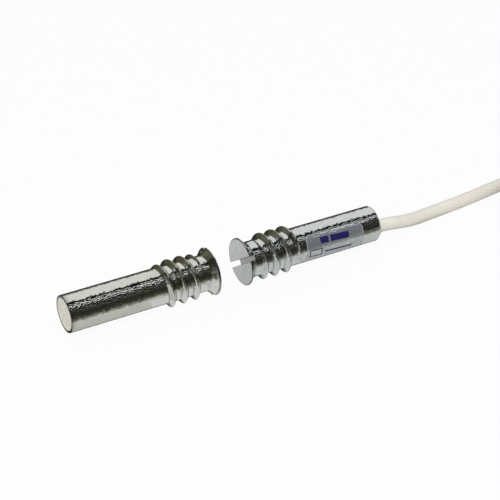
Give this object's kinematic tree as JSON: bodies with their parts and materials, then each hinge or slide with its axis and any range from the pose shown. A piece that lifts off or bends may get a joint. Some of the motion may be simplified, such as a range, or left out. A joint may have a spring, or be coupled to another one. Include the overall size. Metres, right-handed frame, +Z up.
{
  "type": "recessed magnetic contact",
  "caption": "Pair of slotted, threaded cylindrical housings: a reed contact with a four-core cable, and its magnet, head to head on one axis.",
  "frame": {"origin": "on the floor, below the middle of the gap between the two head faces", "axes": "+X along the common axis from the magnet unit to the contact and its cable, +Z up"},
  "size_m": [0.1585, 0.0569, 0.0133],
  "materials": {
    "nickel_plate": "bright nickel plate on turned brass",
    "cream_resin": "cast cream resin",
    "cream_grommet": "moulded cream plastic",
    "cable_jacket": "extruded cream-white PVC",
    "reed_glass": "clear tube glass",
    "blade_metal": "nickel-iron wire",
    "carrier_plastic": "moulded nylon",
    "solder": "tin solder",
    "splice_sleeve": "black shrink sleeve",
    "core_brown": "brown PVC insulation",
    "core_white": "white PVC insulation",
    "core_green": "green PVC insulation",
    "core_yellow": "yellow PVC insulation",
    "tinned_copper": "tinned strands",
    "tie_band": "black nylon band",
    "magnet_alloy": "ground cast magnet alloy"
  },
  "bodies": {
    "contact": {"contact_housing": "nickel_plate", "reed_glass": "reed_glass", "front_blade": "blade_metal", "rear_blade": "blade_metal", "reed_carrier": "carrier_plastic", "front_bead": "solder", "rear_bead": "solder", "tamper_splice": "splice_sleeve", "brown_core": "core_brown", "white_core": "core_white", "green_core": "core_green", "yellow_core": "core_yellow", "contact_plug": "cream_resin", "cable_grommet": "cream_grommet", "cable": "cable_jacket", "cable_coil": "cable_jacket", "cable_tail": "cable_jacket", "coil_ties": "tie_band", "brown_end": "core_brown", "white_end": "core_white", "green_end": "core_green", "yellow_end": "core_yellow", "tinned_strands": "tinned_copper"},
    "magnet": {"magnet_housing": "nickel_plate", "bar_magnet": "magnet_alloy", "magnet_plug": "cream_resin"}
  },
  "joints": [
    {"name": "magnet_approach", "type": "slide", "parent": "contact", "child": "magnet", "axis": [1, 0, 0], "range_m": [-0.025, 0.0069]}
  ]
}
